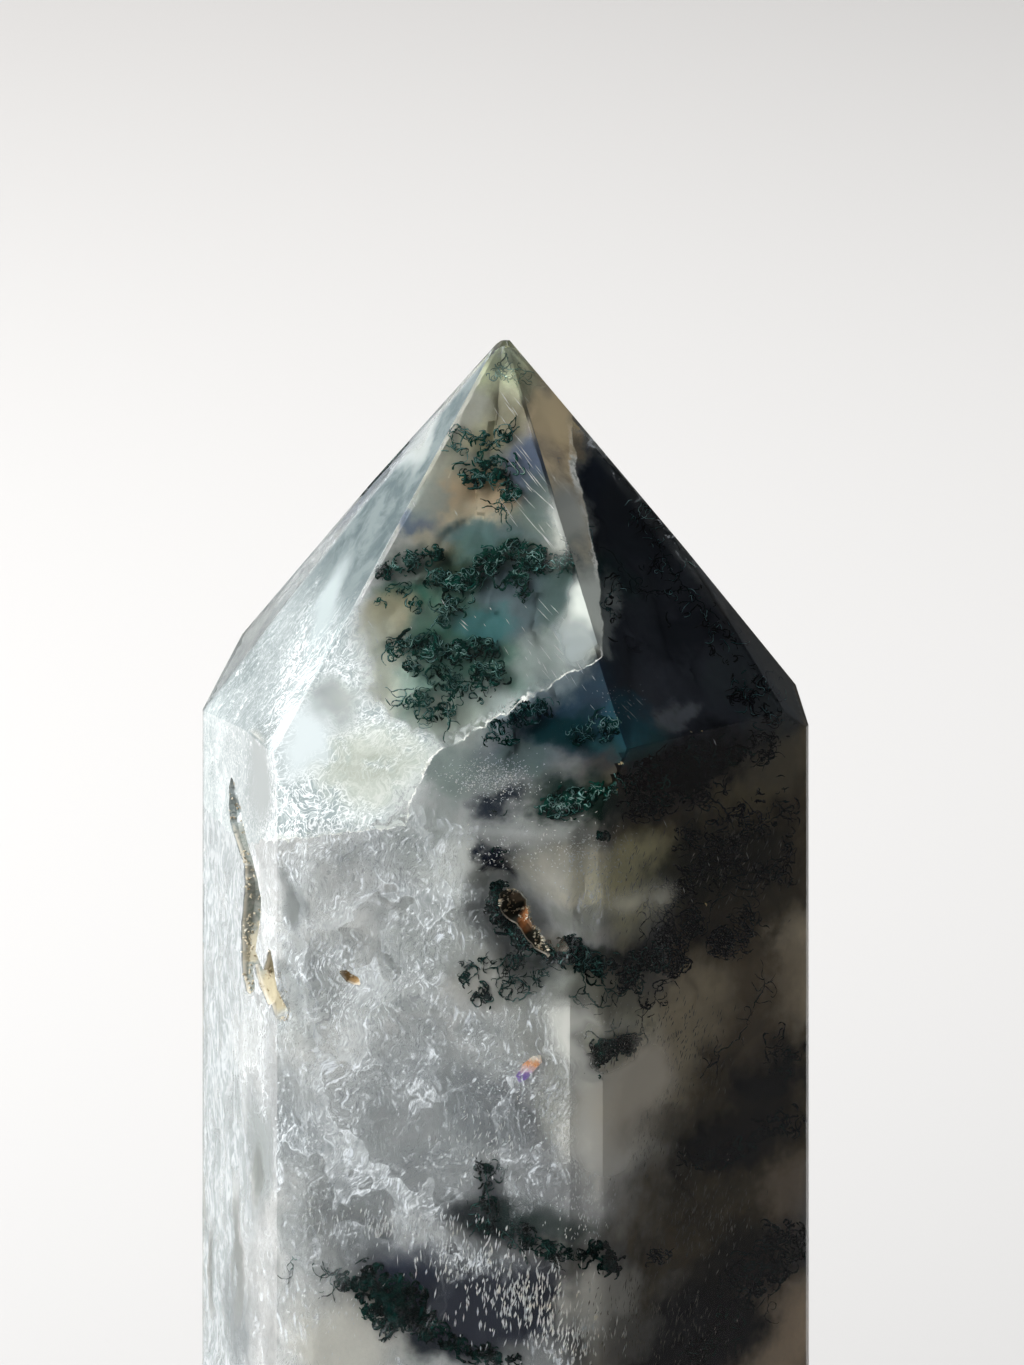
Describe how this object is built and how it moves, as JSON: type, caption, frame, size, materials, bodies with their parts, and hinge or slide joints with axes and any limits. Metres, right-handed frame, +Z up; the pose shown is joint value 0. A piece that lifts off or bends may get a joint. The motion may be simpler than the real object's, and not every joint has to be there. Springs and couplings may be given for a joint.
{
  "type": "moss agate tower",
  "caption": "Free-standing polished stone tower: a hexagonal prism with narrow ground corners, an uneven faceted point, small open pits and a flat base.",
  "frame": {"origin": "middle of the flat base", "axes": "+Z up along the tower towards its point; the front side face looks towards -Y"},
  "size_m": [0.045, 0.0394, 0.0997],
  "materials": {
    "agate": "polished translucent chalcedony, pale grey to smoky, with dark green moss",
    "moss": "dark green mineral threads inside the stone",
    "crystal": "fine sparkling quartz crust"
  },
  "bodies": {
    "root": {"tower": "agate"}
  },
  "joints": []
}
